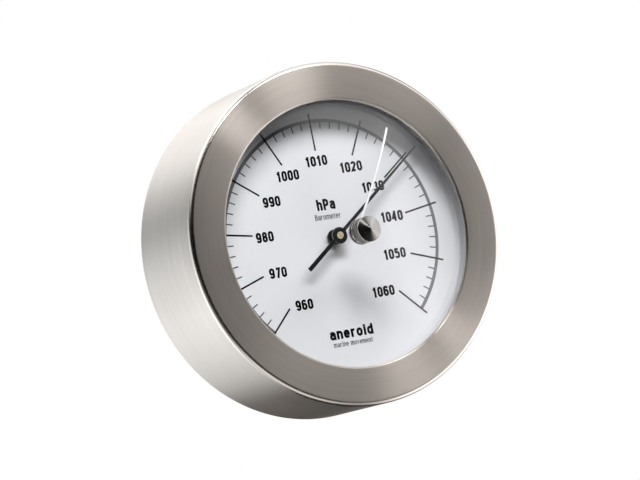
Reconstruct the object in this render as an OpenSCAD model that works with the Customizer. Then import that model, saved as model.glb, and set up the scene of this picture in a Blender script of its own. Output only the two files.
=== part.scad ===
// Aneroid barometer in a one-piece drum case, for hanging on a wall.
// Row frame: the back of the case lies on the plane Y = 0 and the dial faces -Y.
// The origin is the centre of that back face, and +Z is up.
// Every piece is drawn lying on its back, with z running from the wall towards
// the viewer, and stand() turns it upright.

/* [Case] */
// Outside diameter of the drum
case_d = 125; // [120:0.5:130]
// Depth of the drum, from the wall to its front ring
case_depth = 42; // [42:0.5:46]
// Thickness of the sheet of the drum
case_wall = 1.2; // [1:0.1:1.4]
// Radius of the rounded front edge
edge_r = 1.8; // [1.5:0.1:2.5]
// Diameter of the window in the front ring
window_d = 96.9; // [94:0.1:98]
// Radius of the bead rolled around the window
bead_r = 0.9; // [0.8:0.05:1]

/* [Glass] */
// Outer radius of curvature of the domed glass
glass_curve_r = 126.8; // [126:0.1:128]
// Height of the dome in front of the front ring
dome_rise = 8; // [7.8:0.1:8.2]
// Thickness of the glass
glass_t = 1.5; // [1.3:0.1:1.6]
// Outside diameter of the glass
glass_d = 109; // [108.6:0.1:109.2]

/* [Dial] */
// Distance from the front ring back to the face of the dial
dial_recess = 12.5; // [12.3:0.1:12.7]
// Thickness of the dial plate
dial_t = 0.8; // [0.6:0.1:0.8]
// Inside diameter of the spacer ring around the dial
spacer_d = 105.6; // [105:0.1:106]

/* [Readings] */
// Reading that the pointer shows at rest, in hPa
hpa_rest = 1029.9; // [1005:0.1:1035]
// Reading that the set hand marks at rest, in hPa
hpa_set = 1023; // [980:0.1:1050]

/* [Hands] */
// Length of the pointer from its centre to its tip
pointer_l = 47.5; // [40:0.5:47.5]
// Length of the pointer's tail
tail_l = 18; // [12:0.5:20]
// Distance of the pointer in front of the dial
pointer_lift = 4.8; // [4.6:0.1:5]
// Length of the set hand
set_hand_l = 45.4; // [40:0.2:45.4]
// Width of the set hand
set_hand_w = 0.75; // [0.6:0.05:1.2]

/* [Knob] */
// Diameter of the setting knob
knob_d = 9.4; // [8:0.1:10]
// Height of the knob without its pointed end
knob_h = 7.1; // [6:0.1:7.5]
// Height of the knob's pointed end
knob_point_h = 1.2; // [0.8:0.1:1.4]
// Distance of the knob's axis to the left of the pointer's axis
spindle_left = 0.3; // [0:0.1:0.4]
// Distance of the knob's axis below the pointer's axis
spindle_drop = 1.3; // [0:0.1:1.4]

/* [Movement] */
// Diameter of the capsule
capsule_d = 44; // [40:0.5:44]
// Distance of the capsule's centre below the pointer's axis
capsule_drop = 14; // [14:0.1:14.4]
// Distance from the rocking shaft to the finger that rests on the capsule
finger_reach = 1.3; // [1.2:0.05:1.4]
// Distance from the rocking shaft to the chain
arm_l = 11.2; // [11.1:0.05:11.25]
// Radius at which the chain winds on the arbor
wind_r = 1; // [1:0.01:1.02]

/* [Hidden] */
// Running clearance on a radius, and the gap left between fixed pieces
run = 0.05;
gap = 0.04;
// Allowance that lets a cutter pass through a face
cut = 0.1;
// Facets of the round pieces that stay true circles, and of the dome's large arcs
$fn = 96;
dome_fn = 720;

case_r = case_d / 2;
case_in_r = case_r - case_wall;
window_r = window_d / 2;
front_z = case_depth;
front_in_z = front_z - case_wall;

apex_z = front_z + dome_rise;
dome_c = apex_z - glass_curve_r;
glass_in_r = glass_curve_r - glass_t;
glass_r = glass_d / 2;
glass_back_z = apex_z - glass_t;
glass_hole_r = 2.2;

// Spindle through the glass, and the set hand below the glass
spindle_r = 1;
hand_gap = 1;
hand_t = 0.35;
hub_t = 0.4;

dial_z = front_z - dial_recess;
dial_back_z = dial_z - dial_t;
spacer_in_r = spacer_d / 2;
liner_r = case_in_r - 0.3;

// Rear cover: floor, holes for hanging and adjusting, bosses for the movement's screws
floor_t = 1.8;
flange_z = 3;
cup_wall = 1.9;
keyhole_y = 45;
keyhole_r = 4.5;
keyhole_slot_w = 4.6;
hanging_y = 52;
adjust_hole_r = 3.5;
mount_boss_r = 3.5;
mount_hole_r = 1.15;

// Spring ring that holds the cover
snap_w = 1.8;
snap_z = 0.6;
snap_h = 1.1;
snap_groove = 0.6;
snap_in_r = case_in_r + snap_groove - 0.1 - snap_w;

// Movement frame, measured from the dial so that it keeps its place behind it
plate_z = dial_z - 26.5;
plate_t = 1.4;
plate_top = plate_z + plate_t;
plate_r = 38;
rear_bridge_z = dial_z - 11;
front_bridge_z = dial_z - 3;
bridge_t = 1.1;
pillar_x = 27;
mount_screws = [[20, 27], [-20, 27], [22, -27], [-22, -27]];

// Pointer
blade_t = 0.4;
barrel_r = 1.76;
pointer_bush_r = 1.3;

// Arbor
arbor_r = 0.6;
bush_r = 1.6;
drum_z = dial_z - 4.3;
drum_r = wind_r - 0.2;
drum_half = 1.2;
drum_flange_t = 0.2;
arbor_tip = pointer_z() + 0.8;

// Rocking shaft
rocker_y = -capsule_drop - finger_reach;
rocker_z = drum_z - arm_l;
rocker_r = 1.2;
rocker_half = 23.2;
journal_r = 0.45;
journal_l = 1.2;
post_x = 26;
post_r = 2.2;
finger_r = 0.5;
finger_down = 1.7;
finger_foot = rocker_z - finger_down - finger_r;

// Printed scale, in hPa, and degrees of pointer per hPa
hpa_low = 960;
hpa_high = 1060;
sweep = 270;
hpa_deg = sweep / (hpa_high - hpa_low);
hpa_mid = (hpa_low + hpa_high) / 2;
pointer_a = (hpa_rest - hpa_mid) * hpa_deg;
set_a = (hpa_set - hpa_mid) * hpa_deg;
arm_a = pointer_a * wind_r / arm_l;

// Adjusting leaf, capsule and adjusting screw
capsule_y = -capsule_drop;
capsule_r = capsule_d / 2;
leaf_z = plate_top + 1.1;
leaf_t = 0.5;
leaf_w = 9;
leaf_screw_ys = [12, 18];
stem_r = 1.4;
adjust_y = -30;
capsule_z = leaf_z + leaf_t + 0.6;
skin_t = 0.35;
rim_low = capsule_z + 1.6;
rim_high = rim_low + 0.75;
skin_top = rim_high + 1.45;

// Hairspring
spring_z = rear_bridge_z + bridge_t + 1.9;
spring_h = 0.6;
spring_t = 0.16;
spring_in = 1.9;
spring_out = 6.6;
spring_turns = 5;
stud_r = 0.8;

// Height of the back of the pointer blade
function pointer_z() = dial_z + pointer_lift;
// Height of a sphere about the dome's centre, at a distance from the axis
function dome_z(radius, at) = dome_c + sqrt(radius * radius - at * at);
// Point on a circle, for an angle counted clockwise from the top as the viewer sees it
function clock(radius, a) = [radius * sin(a), radius * cos(a)];
// Slope and ripples of a corrugated skin, flat within a distance of its axis
function slope(at, outer, flat) = max(0, at - flat) / (outer - flat);
function ripple(at, outer, flat) = at < flat ? 0 : 0.28 * (1 - cos(360 * 4 * slope(at, outer, flat)));

module stand() {
    rotate([90, 0, 0]) children();
}

module ring(outer, inner, z0, z1) {
    translate([0, 0, z0]) difference() {
        cylinder(r = outer, h = z1 - z0);
        translate([0, 0, -cut]) cylinder(r = inner, h = z1 - z0 + 2 * cut);
    }
}

module disc(radius, z0, z1) {
    translate([0, 0, z0]) cylinder(r = radius, h = z1 - z0);
}

// Draws along the axis of the knob and the set hand
module on_spindle() {
    translate([-spindle_left, -spindle_drop, 0]) children();
}

// Layer between two spheres about the dome's centre, from one distance from the axis to another
module dome_layer(outer, inner, from_r, to_r) {
    rotate_extrude() intersection() {
        translate([0, dome_c]) difference() {
            circle(r = outer, $fn = dome_fn);
            circle(r = inner, $fn = dome_fn);
        }
        translate([from_r, dial_z]) square([to_r - from_r, outer]);
    }
}

// Cheese-head screw with a slot, its head resting on the plane z = 0 and its shank below
module slotted_screw(head_r, head_h, shank_r, shank_l, slot_w = 0.6) {
    difference() {
        union() {
            disc(head_r, 0, head_h);
            disc(shank_r, -shank_l, cut);
        }
        translate([-head_r, -slot_w / 2, head_h / 2]) cube([2 * head_r, slot_w, head_h]);
    }
}

/* ---------- case ---------- */

// Half section of the drum: side, rounded front edge, front ring and rolled bead
module shell_section() {
    difference() {
        union() {
            translate([case_in_r, 0]) square([case_wall, front_z - edge_r]);
            translate([window_r + bead_r, front_in_z])
                square([case_r - edge_r - window_r - bead_r, case_wall]);
            intersection() {
                difference() {
                    translate([case_r - edge_r, front_z - edge_r]) circle(r = edge_r);
                    translate([case_r - edge_r, front_z - edge_r]) circle(r = edge_r - case_wall);
                }
                translate([case_r - edge_r, front_z - edge_r]) square(edge_r);
            }
            translate([window_r + bead_r, front_z - bead_r]) circle(r = bead_r);
        }
        translate([case_in_r - cut, snap_z - gap])
            square([snap_groove + cut, snap_h + 2 * gap]);
    }
}

module case_shell() {
    color("silver") stand() rotate_extrude() shell_section();
}

module glass() {
    color("white", 0.35) stand() difference() {
        dome_layer(glass_curve_r, glass_in_r, 0, glass_r);
        on_spindle() disc(glass_hole_r, glass_back_z - 1, apex_z + 1);
    }
}

// Rubber ring whose back is hollowed to lie on the dome
module glass_gasket() {
    inner = window_r + 2 * bead_r + 0.3;
    color("dimgray") stand() rotate_extrude() difference() {
        translate([inner, dial_z + 3]) square([glass_r - inner, front_in_z - gap - dial_z - 3]);
        translate([0, dome_c]) circle(r = glass_curve_r + gap, $fn = dome_fn);
    }
}

module spacer_ring() {
    seat_z = dome_z(glass_in_r, glass_r) - gap;
    color("whitesmoke") stand() {
        ring(liner_r, spacer_in_r, dial_z + gap, seat_z);
        ring(case_r - edge_r, glass_r + 0.3, seat_z - cut, front_in_z - gap);
    }
}

module dial_plate() {
    color("white") stand() ring(liner_r, 1.6, dial_back_z, dial_z);
}

// Cup that closes the case: floor, rim that presses on the dial, bosses, keyhole and adjusting hole
module rear_cover() {
    color([0.12, 0.12, 0.13]) stand() difference() {
        union() {
            disc(snap_in_r - 0.2, 0, floor_t);
            ring(liner_r, snap_in_r - 3, floor_t - gap, flange_z);
            ring(liner_r, liner_r - cup_wall, floor_t, dial_back_z - gap);
            for (p = mount_screws) translate(p) disc(mount_boss_r, floor_t - cut, plate_z - gap);
        }
        for (p = mount_screws) translate(p) disc(mount_hole_r, 0.8, plate_z + 1);
        translate([0, keyhole_y, 0]) disc(keyhole_r, -cut, floor_t + cut);
        translate([-keyhole_slot_w / 2, keyhole_y, -cut])
            cube([keyhole_slot_w, hanging_y - keyhole_y, floor_t + 2 * cut]);
        translate([0, hanging_y, 0]) disc(keyhole_slot_w / 2, -cut, floor_t + cut);
        translate([0, adjust_y, 0]) disc(adjust_hole_r, -cut, floor_t + cut);
    }
}

// Open spring ring in the groove of the drum, with a plier hole near each end
module snap_ring() {
    open_a = 9;
    hole_at = clock(snap_in_r + snap_w / 2, 180 - open_a);
    color("gray") stand() difference() {
        ring(snap_in_r + snap_w, snap_in_r, snap_z, snap_z + snap_h);
        translate([0, -case_r, snap_z - cut]) linear_extrude(snap_h + 2 * cut)
            polygon([[0, case_r / 2], [-5, -1], [5, -1]]);
        for (s = [-1, 1]) translate([s * hole_at[0], hole_at[1], 0])
            disc(0.5, snap_z - cut, snap_z + snap_h + cut);
    }
}

/* ---------- movement frame ---------- */

module movement_plate() {
    color("goldenrod") stand() difference() {
        union() {
            disc(plate_r, plate_z, plate_top);
            translate([-5, 9, plate_top - cut]) cube([10, 12, leaf_z - plate_top + cut - gap]);
        }
        for (p = mount_screws) translate(p) disc(1.25, plate_z - cut, plate_top + cut);
        translate([0, adjust_y, 0]) disc(1.5, plate_z - cut, plate_top + cut);
        for (y = leaf_screw_ys) translate([0, y, 0]) disc(0.85, plate_z + 0.3, leaf_z + cut);
        for (s = [-1, 1]) {
            translate([s * pillar_x, 0, 0]) disc(1.2, plate_z - cut, plate_top + cut);
            translate([s * post_x, rocker_y, 0]) disc(1.2, plate_z - cut, plate_top + cut);
        }
        translate([0, capsule_y, 0]) disc(4, plate_z - cut, plate_top + cut);
    }
}

module movement_screws() {
    color("silver") stand() for (p = mount_screws)
        translate([p[0], p[1], plate_top + gap]) slotted_screw(2.2, 1.1, 1.1, 3.2);
}

// Two stepped pillars, riveted into the plate and drilled for the bridge screws
module pillars() {
    color("goldenrod") stand() for (s = [-1, 1]) translate([s * pillar_x, 0, 0]) difference() {
        union() {
            disc(1.2 - gap, plate_z, plate_top + cut);
            disc(2.6, plate_top + gap, rear_bridge_z - gap);
            disc(2, rear_bridge_z - gap - cut, front_bridge_z - gap);
        }
        disc(1.15, front_bridge_z - 5, front_bridge_z + 1);
    }
}

// Bar across the pillars, pierced for the arbor's bush
module bridge(z0, end_r, end_hole) {
    difference() {
        union() {
            translate([-pillar_x, -3.5, z0]) cube([2 * pillar_x, 7, bridge_t]);
            disc(6, z0, z0 + bridge_t);
            for (s = [-1, 1]) translate([s * pillar_x, 0, 0]) disc(end_r, z0, z0 + bridge_t);
        }
        disc(bush_r + gap, z0 - cut, z0 + bridge_t + cut);
        for (s = [-1, 1]) translate([s * pillar_x, 0, 0]) disc(end_hole, z0 - cut, z0 + bridge_t + cut);
    }
}

module rear_bridge() {
    color("goldenrod") stand() difference() {
        union() {
            bridge(rear_bridge_z, 4.2, 2 + gap);
            translate([spring_out, 0, 0]) disc(2, rear_bridge_z, rear_bridge_z + bridge_t);
        }
        translate([spring_out, 0, 0]) disc(stud_r + gap, rear_bridge_z - cut, rear_bridge_z + 2);
    }
}

module front_bridge() {
    color("goldenrod") stand() bridge(front_bridge_z, 3.6, 1.2);
}

module bridge_screws() {
    color("silver") stand() for (s = [-1, 1])
        translate([s * pillar_x, 0, front_bridge_z + bridge_t + gap])
            slotted_screw(1.9, 0.85, 1.1, 4.8);
}

module arbor_bushes() {
    color("gold") stand() for (z = [rear_bridge_z, front_bridge_z])
        ring(bush_r, arbor_r + run, z, z + bridge_t);
}

/* ---------- pointer ---------- */

// Steel arbor with the drum that the chain winds on
module arbor() {
    color("silver") stand() {
        disc(arbor_r, rear_bridge_z - 0.6, arbor_tip);
        disc(drum_r, drum_z - drum_half, drum_z + drum_half);
        for (z = [drum_z - drum_half, drum_z + drum_half - drum_flange_t])
            disc(drum_r + 0.6, z, z + drum_flange_t);
        disc(0.9, rear_bridge_z + bridge_t + 0.1, rear_bridge_z + bridge_t + 0.5);
    }
}

// Blade that tapers to its tip, with a heavier straight tail
module pointer_blade() {
    hub_w = 1.35;
    tip_w = 0.65;
    tail_w = 1.4;
    tail_end_w = 1.55;
    right = [[tip_w / 2, pointer_l], [hub_w / 2, 0], [tail_w / 2, 0], [tail_end_w / 2, -tail_l]];
    left = [for (i = [3:-1:0]) [-right[i][0], right[i][1]]];
    color([0.05, 0.05, 0.05]) stand() rotate([0, 0, -pointer_a]) difference() {
        union() {
            translate([0, 0, pointer_z()]) linear_extrude(blade_t) polygon(concat(right, left));
            disc(2.3, pointer_z(), pointer_z() + blade_t);
        }
        disc(barrel_r + gap, pointer_z() - cut, pointer_z() + blade_t + cut);
    }
}

// Turned boss in front of the blade, with the barrel that passes through it
module pointer_boss() {
    back = pointer_z() + blade_t + gap;
    color("black") stand() difference() {
        union() {
            disc(3, back, back + 0.5);
            disc(2.7, back + 0.4, back + 0.75);
            disc(barrel_r, dial_z + 2.3, back + cut);
        }
        disc(pointer_bush_r + gap, dial_z + 2, back + 1);
    }
}

module pointer_collar() {
    color("black") stand() ring(2.8, pointer_bush_r + gap, dial_z + 1.3, dial_z + 2.1);
}

// Brass bush pressed on the arbor, with a closed front end and a slit across it
module pointer_bush() {
    front = pointer_z() + 1.3;
    slit_w = 0.3;
    slit_t = 0.25;
    color("gold") stand() rotate([0, 0, -pointer_a]) difference() {
        disc(pointer_bush_r, dial_z + 1.1, front);
        disc(arbor_r + 0.02, dial_z + 1, arbor_tip + gap);
        translate([-2, -slit_w / 2, front - slit_t]) cube([4, slit_w, 1]);
    }
}

/* ---------- hairspring ---------- */

function spiral(turn, offset) =
    let (radius = spring_in + (spring_out - spring_in) * turn / spring_turns + offset)
    [radius * cos(360 * turn), radius * sin(360 * turn)];

// Flat ribbon wound in a spiral from the collet out to the stud
module hairspring() {
    step = 1 / 16;
    color("lightsteelblue") stand() translate([0, 0, spring_z]) linear_extrude(spring_h) polygon(concat(
        [for (t = [0:step:spring_turns]) spiral(t, spring_t / 2)],
        [for (t = [spring_turns:-step:0]) spiral(t, -spring_t / 2)]
    ));
}

module hairspring_collet() {
    color("gold") stand() ring(spring_in - spring_t / 2 - gap, arbor_r + 0.02, spring_z - 0.5, spring_z + 1);
}

// Stud riveted in the rear bridge, slit to take the spring's outer end
module hairspring_stud() {
    color("gold") stand() translate([spring_out, 0, 0]) difference() {
        union() {
            disc(stud_r, rear_bridge_z, spring_z + 1.2);
            disc(1.1, rear_bridge_z + bridge_t + gap, spring_z - 0.4);
        }
        translate([-0.3, -1, spring_z - 0.1]) cube([0.6, 2, 2]);
    }
}

/* ---------- capsule and its adjustment ---------- */

// Half section of a corrugated skin, from its flat centre at one height to its rim at another
module skin_section(centre_z, rim_z) {
    flat = 3;
    outer = capsule_r - 1.5;
    n = 36;
    function at(i) = flat + (outer - flat) * i / n;
    function height(i) =
        centre_z + (rim_z - centre_z) * slope(at(i), outer, flat) + ripple(at(i), outer, flat);
    polygon(concat(
        [[0, centre_z]], [for (i = [0:n]) [at(i), height(i)]],
        [for (i = [n:-1:0]) [at(i), height(i) + skin_t]], [[0, centre_z + skin_t]]
    ));
}

module capsule_lower() {
    color("tan") stand() translate([0, capsule_y, 0]) {
        rotate_extrude() skin_section(capsule_z, rim_low);
        ring(capsule_r, capsule_r - 1.52, rim_low, rim_low + skin_t);
        disc(3, leaf_z + leaf_t + gap, capsule_z + skin_t);
        disc(stem_r, plate_top + 0.15, capsule_z + skin_t);
    }
}

// Upper skin, whose skirt covers the rim of the lower one with a running clearance
module capsule_upper() {
    color("tan") stand() translate([0, capsule_y, 0]) {
        rotate_extrude() skin_section(skin_top, rim_high);
        ring(capsule_r + run + 0.4, capsule_r - 1.52, rim_high, rim_high + skin_t);
        ring(capsule_r + run + 0.4, capsule_r + run, rim_low - 0.2, rim_high + skin_t);
    }
}

module capsule_post() {
    color("gold") stand() translate([0, capsule_y, 0]) {
        disc(2.4, skin_top + skin_t + gap / 2, skin_top + skin_t + 0.4);
        disc(1, skin_top + skin_t + 0.3, finger_foot - run);
    }
}

module capsule_nut() {
    color("gold") stand() translate([0, capsule_y, 0]) difference() {
        translate([0, 0, plate_top + 0.15]) cylinder(r = 3, h = leaf_z - plate_top - 0.15 - gap, $fn = 6);
        disc(stem_r + gap, plate_top, leaf_z);
    }
}

// Spring strip that carries the capsule and is bent by the adjusting screw
module adjusting_leaf() {
    color("lightsteelblue") stand() difference() {
        union() {
            translate([-leaf_w / 2, -33, leaf_z]) cube([leaf_w, 54, leaf_t]);
            translate([0, capsule_y, 0]) disc(7, leaf_z, leaf_z + leaf_t);
        }
        translate([0, capsule_y, 0]) disc(stem_r + gap, leaf_z - cut, leaf_z + leaf_t + cut);
        for (y = leaf_screw_ys) translate([0, y, 0]) disc(0.85, leaf_z - cut, leaf_z + leaf_t + cut);
    }
}

module leaf_screws() {
    color("silver") stand() for (y = leaf_screw_ys)
        translate([0, y, leaf_z + leaf_t + gap]) slotted_screw(1.8, 0.8, 0.8, 2.5);
}

module adjusting_screw() {
    color("silver") stand() translate([0, adjust_y, plate_z - 0.1]) mirror([0, 0, 1])
        slotted_screw(2.8, 0.9, 1.45, leaf_z - plate_z, 0.8);
}

/* ---------- rocking shaft ---------- */

// Drawn along x at the height of the shaft
module on_shaft() {
    translate([0, rocker_y, rocker_z]) children();
}

module along_x(radius, x0, x1) {
    translate([x0, 0, 0]) rotate([0, 90, 0]) cylinder(r = radius, h = x1 - x0);
}

module rocker_posts() {
    color("goldenrod") stand() for (s = [-1, 1]) difference() {
        union() {
            translate([s * post_x, rocker_y, 0]) disc(1.2 - gap, plate_z, plate_top + cut);
            translate([s * post_x, rocker_y, 0]) disc(post_r, plate_top + gap, rocker_z + 2.4);
        }
        on_shaft() along_x(1, s * post_x - 4, s * post_x + 4);
    }
}

// Pivot screws, each with a blind hole that holds one journal of the shaft
module pivot_screws() {
    inner = rocker_half + 0.2;
    outer = post_x + post_r + 0.1;
    color("silver") stand() on_shaft() for (s = [0, 1]) mirror([s, 0, 0]) difference() {
        union() {
            along_x(1 - gap, inner, outer + cut);
            along_x(1.7, outer, outer + 1);
        }
        along_x(journal_r + run, inner - cut, rocker_half + journal_l + 0.2);
        translate([outer + 0.5, -0.3, -2]) cube([1, 0.6, 4]);
    }
}

module rocker_shaft() {
    color("silver") stand() on_shaft() {
        along_x(rocker_r, -rocker_half, rocker_half);
        along_x(journal_r, -rocker_half - journal_l, rocker_half + journal_l);
    }
}

// Collar on the shaft with a finger that rests on the capsule's post
module rocker_finger() {
    color("gold") stand() on_shaft() difference() {
        union() {
            along_x(2, 2.2, 4.8);
            translate([0, finger_reach, -finger_down]) along_x(finger_r, -0.8, 4.2);
            translate([2.4, finger_reach - finger_r, -finger_down - finger_r])
                cube([1.8, 2 * finger_r, finger_down]);
        }
        along_x(rocker_r + gap, 2, 5);
    }
}

// Arm from the shaft up to the chain, standing at the angle of the reading at rest
module long_arm() {
    color("silver") stand() on_shaft() rotate([-arm_a, 0, 0]) difference() {
        union() {
            along_x(2, -3.2, -1.2);
            translate([-2.5, -0.9, 0]) cube([1, 1.8, arm_l]);
            translate([0, 0, arm_l]) along_x(0.9, -2.5, -1.5);
        }
        along_x(rocker_r + gap, -4, 0);
        translate([0, 0, arm_l]) along_x(0.25 + gap, -3, -1);
    }
}

module chain_pin() {
    color("silver") stand() on_shaft() rotate([-arm_a, 0, 0]) translate([0, 0, arm_l]) {
        along_x(0.25, -2.7, -0.6);
        along_x(0.4, -0.62, -0.45);
    }
}

module counterweight() {
    color("gold") stand() on_shaft() difference() {
        translate([0, 0, -0.6]) along_x(2.1, 12, 18);
        along_x(rocker_r + gap, 11, 19);
    }
}

// Fine bead chain from the pin on the arm to the drum, with the turn that lies on the drum
module chain() {
    strand_r = 0.14;
    bead = 0.19;
    pitch = 0.75;
    eye_y = rocker_y + arm_l * sin(arm_a);
    eye_z = rocker_z + arm_l * cos(arm_a);
    run_l = -eye_y - 0.55;
    color("dimgray") stand() {
        translate([-1, eye_y, eye_z]) rotate([0, 90, 0]) ring(0.6, 0.25 + gap, -0.15, 0.15);
        translate([-wind_r, 0, eye_z]) rotate([90, 0, 0]) cylinder(r = strand_r, h = run_l, $fn = 24);
        for (i = [1:floor(run_l / pitch)]) translate([-wind_r, -i * pitch, eye_z]) sphere(r = bead, $fn = 24);
        translate([0, 0, eye_z]) rotate_extrude(angle = 180)
            translate([wind_r, 0]) circle(r = strand_r, $fn = 24);
    }
}

/* ---------- set hand ---------- */

// Knob: plain flange, groove, milled grip and a pointed front face
module knob() {
    flange_t = 1;
    groove_w = 0.7;
    groove_t = 0.7;
    back = apex_z + 0.7;
    groove_z = back + flange_t;
    grip_z = groove_z + groove_w;
    rim_z = back + knob_h;
    color("silver") stand() on_spindle() difference() {
        union() {
            disc(knob_d / 2 - 0.05, back, groove_z);
            disc(knob_d / 2 - groove_t, groove_z - cut, grip_z + cut);
            disc(knob_d / 2, grip_z, rim_z);
            translate([0, 0, rim_z]) cylinder(r1 = knob_d / 2, r2 = 0, h = knob_point_h);
        }
        disc(spindle_r + 0.02, back - cut, rim_z - 2);
    }
}

// Spindle through the glass, with a head that holds the set hand on
module set_hand_shaft() {
    hub = hand_z();
    color("gold") stand() on_spindle() {
        disc(spindle_r, hub - 0.5, apex_z + knob_h - 1.4);
        disc(1.7, hub - 0.5, hub - gap);
    }
}

// Brass bush in the hole of the glass, with its flange in front
module glass_bush() {
    color("gold") stand() on_spindle() difference() {
        union() {
            disc(glass_hole_r - 0.1, glass_back_z, apex_z + 0.3);
            disc(3.4, apex_z + gap, apex_z + 0.6);
        }
        disc(spindle_r + run, glass_back_z - 1, apex_z + 1);
    }
}

// Height of the back of the set hand's hub
function hand_z() = dome_z(glass_in_r, 0) - hand_gap - hand_t - 0.05;

module friction_washer() {
    color("sienna") stand() on_spindle()
        ring(2.5, spindle_r + 0.02, hand_z() + hub_t + gap, glass_back_z - 0.08);
}

// Thin hand bent to follow the inside of the dome, far enough below it for the spindle's offset
module set_hand() {
    outer = glass_in_r - hand_gap;
    color("white") stand() on_spindle() rotate([0, 0, -set_a]) difference() {
        union() {
            intersection() {
                dome_layer(outer, outer - hand_t, 0.5, set_hand_l + 1);
                translate([-set_hand_w / 2, 0, dial_z]) cube([set_hand_w, set_hand_l, apex_z]);
            }
            disc(2.4, hand_z(), hand_z() + hub_t);
        }
        disc(spindle_r + 0.02, hand_z() - 1, hand_z() + 1);
    }
}

case_shell();
glass();
glass_gasket();
spacer_ring();
dial_plate();
rear_cover();
snap_ring();
movement_plate();
movement_screws();
pillars();
rear_bridge();
front_bridge();
bridge_screws();
arbor_bushes();
arbor();
pointer_blade();
pointer_boss();
pointer_collar();
pointer_bush();
hairspring();
hairspring_collet();
hairspring_stud();
capsule_lower();
capsule_upper();
capsule_post();
capsule_nut();
adjusting_leaf();
leaf_screws();
adjusting_screw();
rocker_posts();
pivot_screws();
rocker_shaft();
rocker_finger();
long_arm();
chain_pin();
counterweight();
chain();
knob();
set_hand_shaft();
glass_bush();
friction_washer();
set_hand();
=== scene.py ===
"""Looks of the aneroid barometer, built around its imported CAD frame.

Round pieces are drawn as profiles of (radius, height) in millimetres. Height runs from the wall
towards the viewer, so a profile point lands at y = -height in the row frame.
"""
import math

import bmesh
import bpy
from mathutils import Matrix, Vector


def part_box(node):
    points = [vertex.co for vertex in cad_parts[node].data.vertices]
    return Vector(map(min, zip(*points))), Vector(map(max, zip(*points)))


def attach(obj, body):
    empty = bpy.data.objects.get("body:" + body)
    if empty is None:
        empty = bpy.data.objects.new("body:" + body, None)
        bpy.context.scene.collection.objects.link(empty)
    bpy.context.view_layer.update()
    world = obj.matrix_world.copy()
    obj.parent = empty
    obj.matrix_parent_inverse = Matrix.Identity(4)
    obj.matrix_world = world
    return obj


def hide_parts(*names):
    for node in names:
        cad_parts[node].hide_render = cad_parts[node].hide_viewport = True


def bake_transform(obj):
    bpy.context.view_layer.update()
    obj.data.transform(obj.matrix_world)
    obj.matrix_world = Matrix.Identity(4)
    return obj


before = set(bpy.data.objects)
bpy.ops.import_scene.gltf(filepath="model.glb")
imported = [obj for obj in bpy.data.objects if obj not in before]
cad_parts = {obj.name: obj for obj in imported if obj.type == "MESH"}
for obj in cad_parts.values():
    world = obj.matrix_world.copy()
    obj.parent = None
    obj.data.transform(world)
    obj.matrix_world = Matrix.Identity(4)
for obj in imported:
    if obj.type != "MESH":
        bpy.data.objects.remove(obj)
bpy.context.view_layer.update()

MM = 0.001
TURN = 2 * math.pi
scene = bpy.context.scene


# ---------- sizes read from the frame, in millimetres ----------

def extent(node):
    """(outer radius, back height, front height) of a round CAD node."""
    low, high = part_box(node)
    return (high.x - low.x) / 2 / MM, -high.y / MM, -low.y / MM


CASE_R, _, FRONT = extent("case_shell")
LINER_R, DIAL_BACK, DIAL = extent("dial_plate")
GLASS_R, _, GLASS_TOP = extent("glass")
KNOB_R, KNOB_BACK, KNOB_TIP = extent("knob")
SPINDLE = tuple(sum(corner[i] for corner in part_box("knob")) / 2 / MM for i in (0, 2))

# Sizes that the frame's boxes do not hold, the same as in part.scad
CASE_WALL = 1.2
EDGE_R = 1.8  # rounded front edge of the drum
BEAD_R = 0.9  # rolled bead at the window
WINDOW_R = 48.45
GLASS_CURVE_R = 126.8
GLASS_T = 1.5
SPACER_IN_R = 52.8
GAP = 0.04  # left between pieces that rest on each other
ADJUSTER = (0, -30)  # the hole in the back over the adjusting screw

# Drawn here only: the front ring's outer edge lies this much lower than its inner edge
RING_FALL = 0.35


# ---------- mesh helpers ----------

def arc(cx, cy, radius, start, end, steps=8):
    """Points on a circle, with angles in degrees from the first axis."""
    angles = [math.radians(start + (end - start) * i / steps) for i in range(steps + 1)]
    return [(cx + radius * math.cos(a), cy + radius * math.sin(a)) for a in angles]


def rounded(corners, radius, steps=4):
    """The closed outline with each corner replaced by an arc, smaller where a side is too short for it."""
    nearly_straight, shortest_cut, side_share = 1.55, 1e-5, 0.49
    out, n = [], len(corners)
    for i, corner in enumerate(corners):
        p = Vector(corner)
        a, b = Vector(corners[i - 1]) - p, Vector(corners[(i + 1) % n]) - p
        half = a.angle(b) / 2
        cut = min(radius / math.tan(half), a.length * side_share, b.length * side_share)
        if cut < shortest_cut or half > nearly_straight:
            out.append(tuple(p))
            continue
        own = cut * math.tan(half)
        start, end = p + a.normalized() * cut, p + b.normalized() * cut
        middle = p + (a.normalized() + b.normalized()).normalized() * (own / math.sin(half))
        turn = (start - middle).angle_signed(end - middle)
        for k in range(steps + 1):
            spoke = (start - middle).copy()
            spoke.rotate(Matrix.Rotation(-turn * k / steps, 2))
            out.append(tuple(middle + spoke))
    return out


def to_row(x, y, height):
    """A point seen on the dial (x right, y up, in mm) at a height in front of the wall."""
    return Vector((x * MM, -height * MM, y * MM))


def clock(radius, angle):
    """(x, y) on a circle, with the angle in degrees clockwise from the top."""
    a = math.radians(angle)
    return radius * math.sin(a), radius * math.cos(a)


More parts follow.
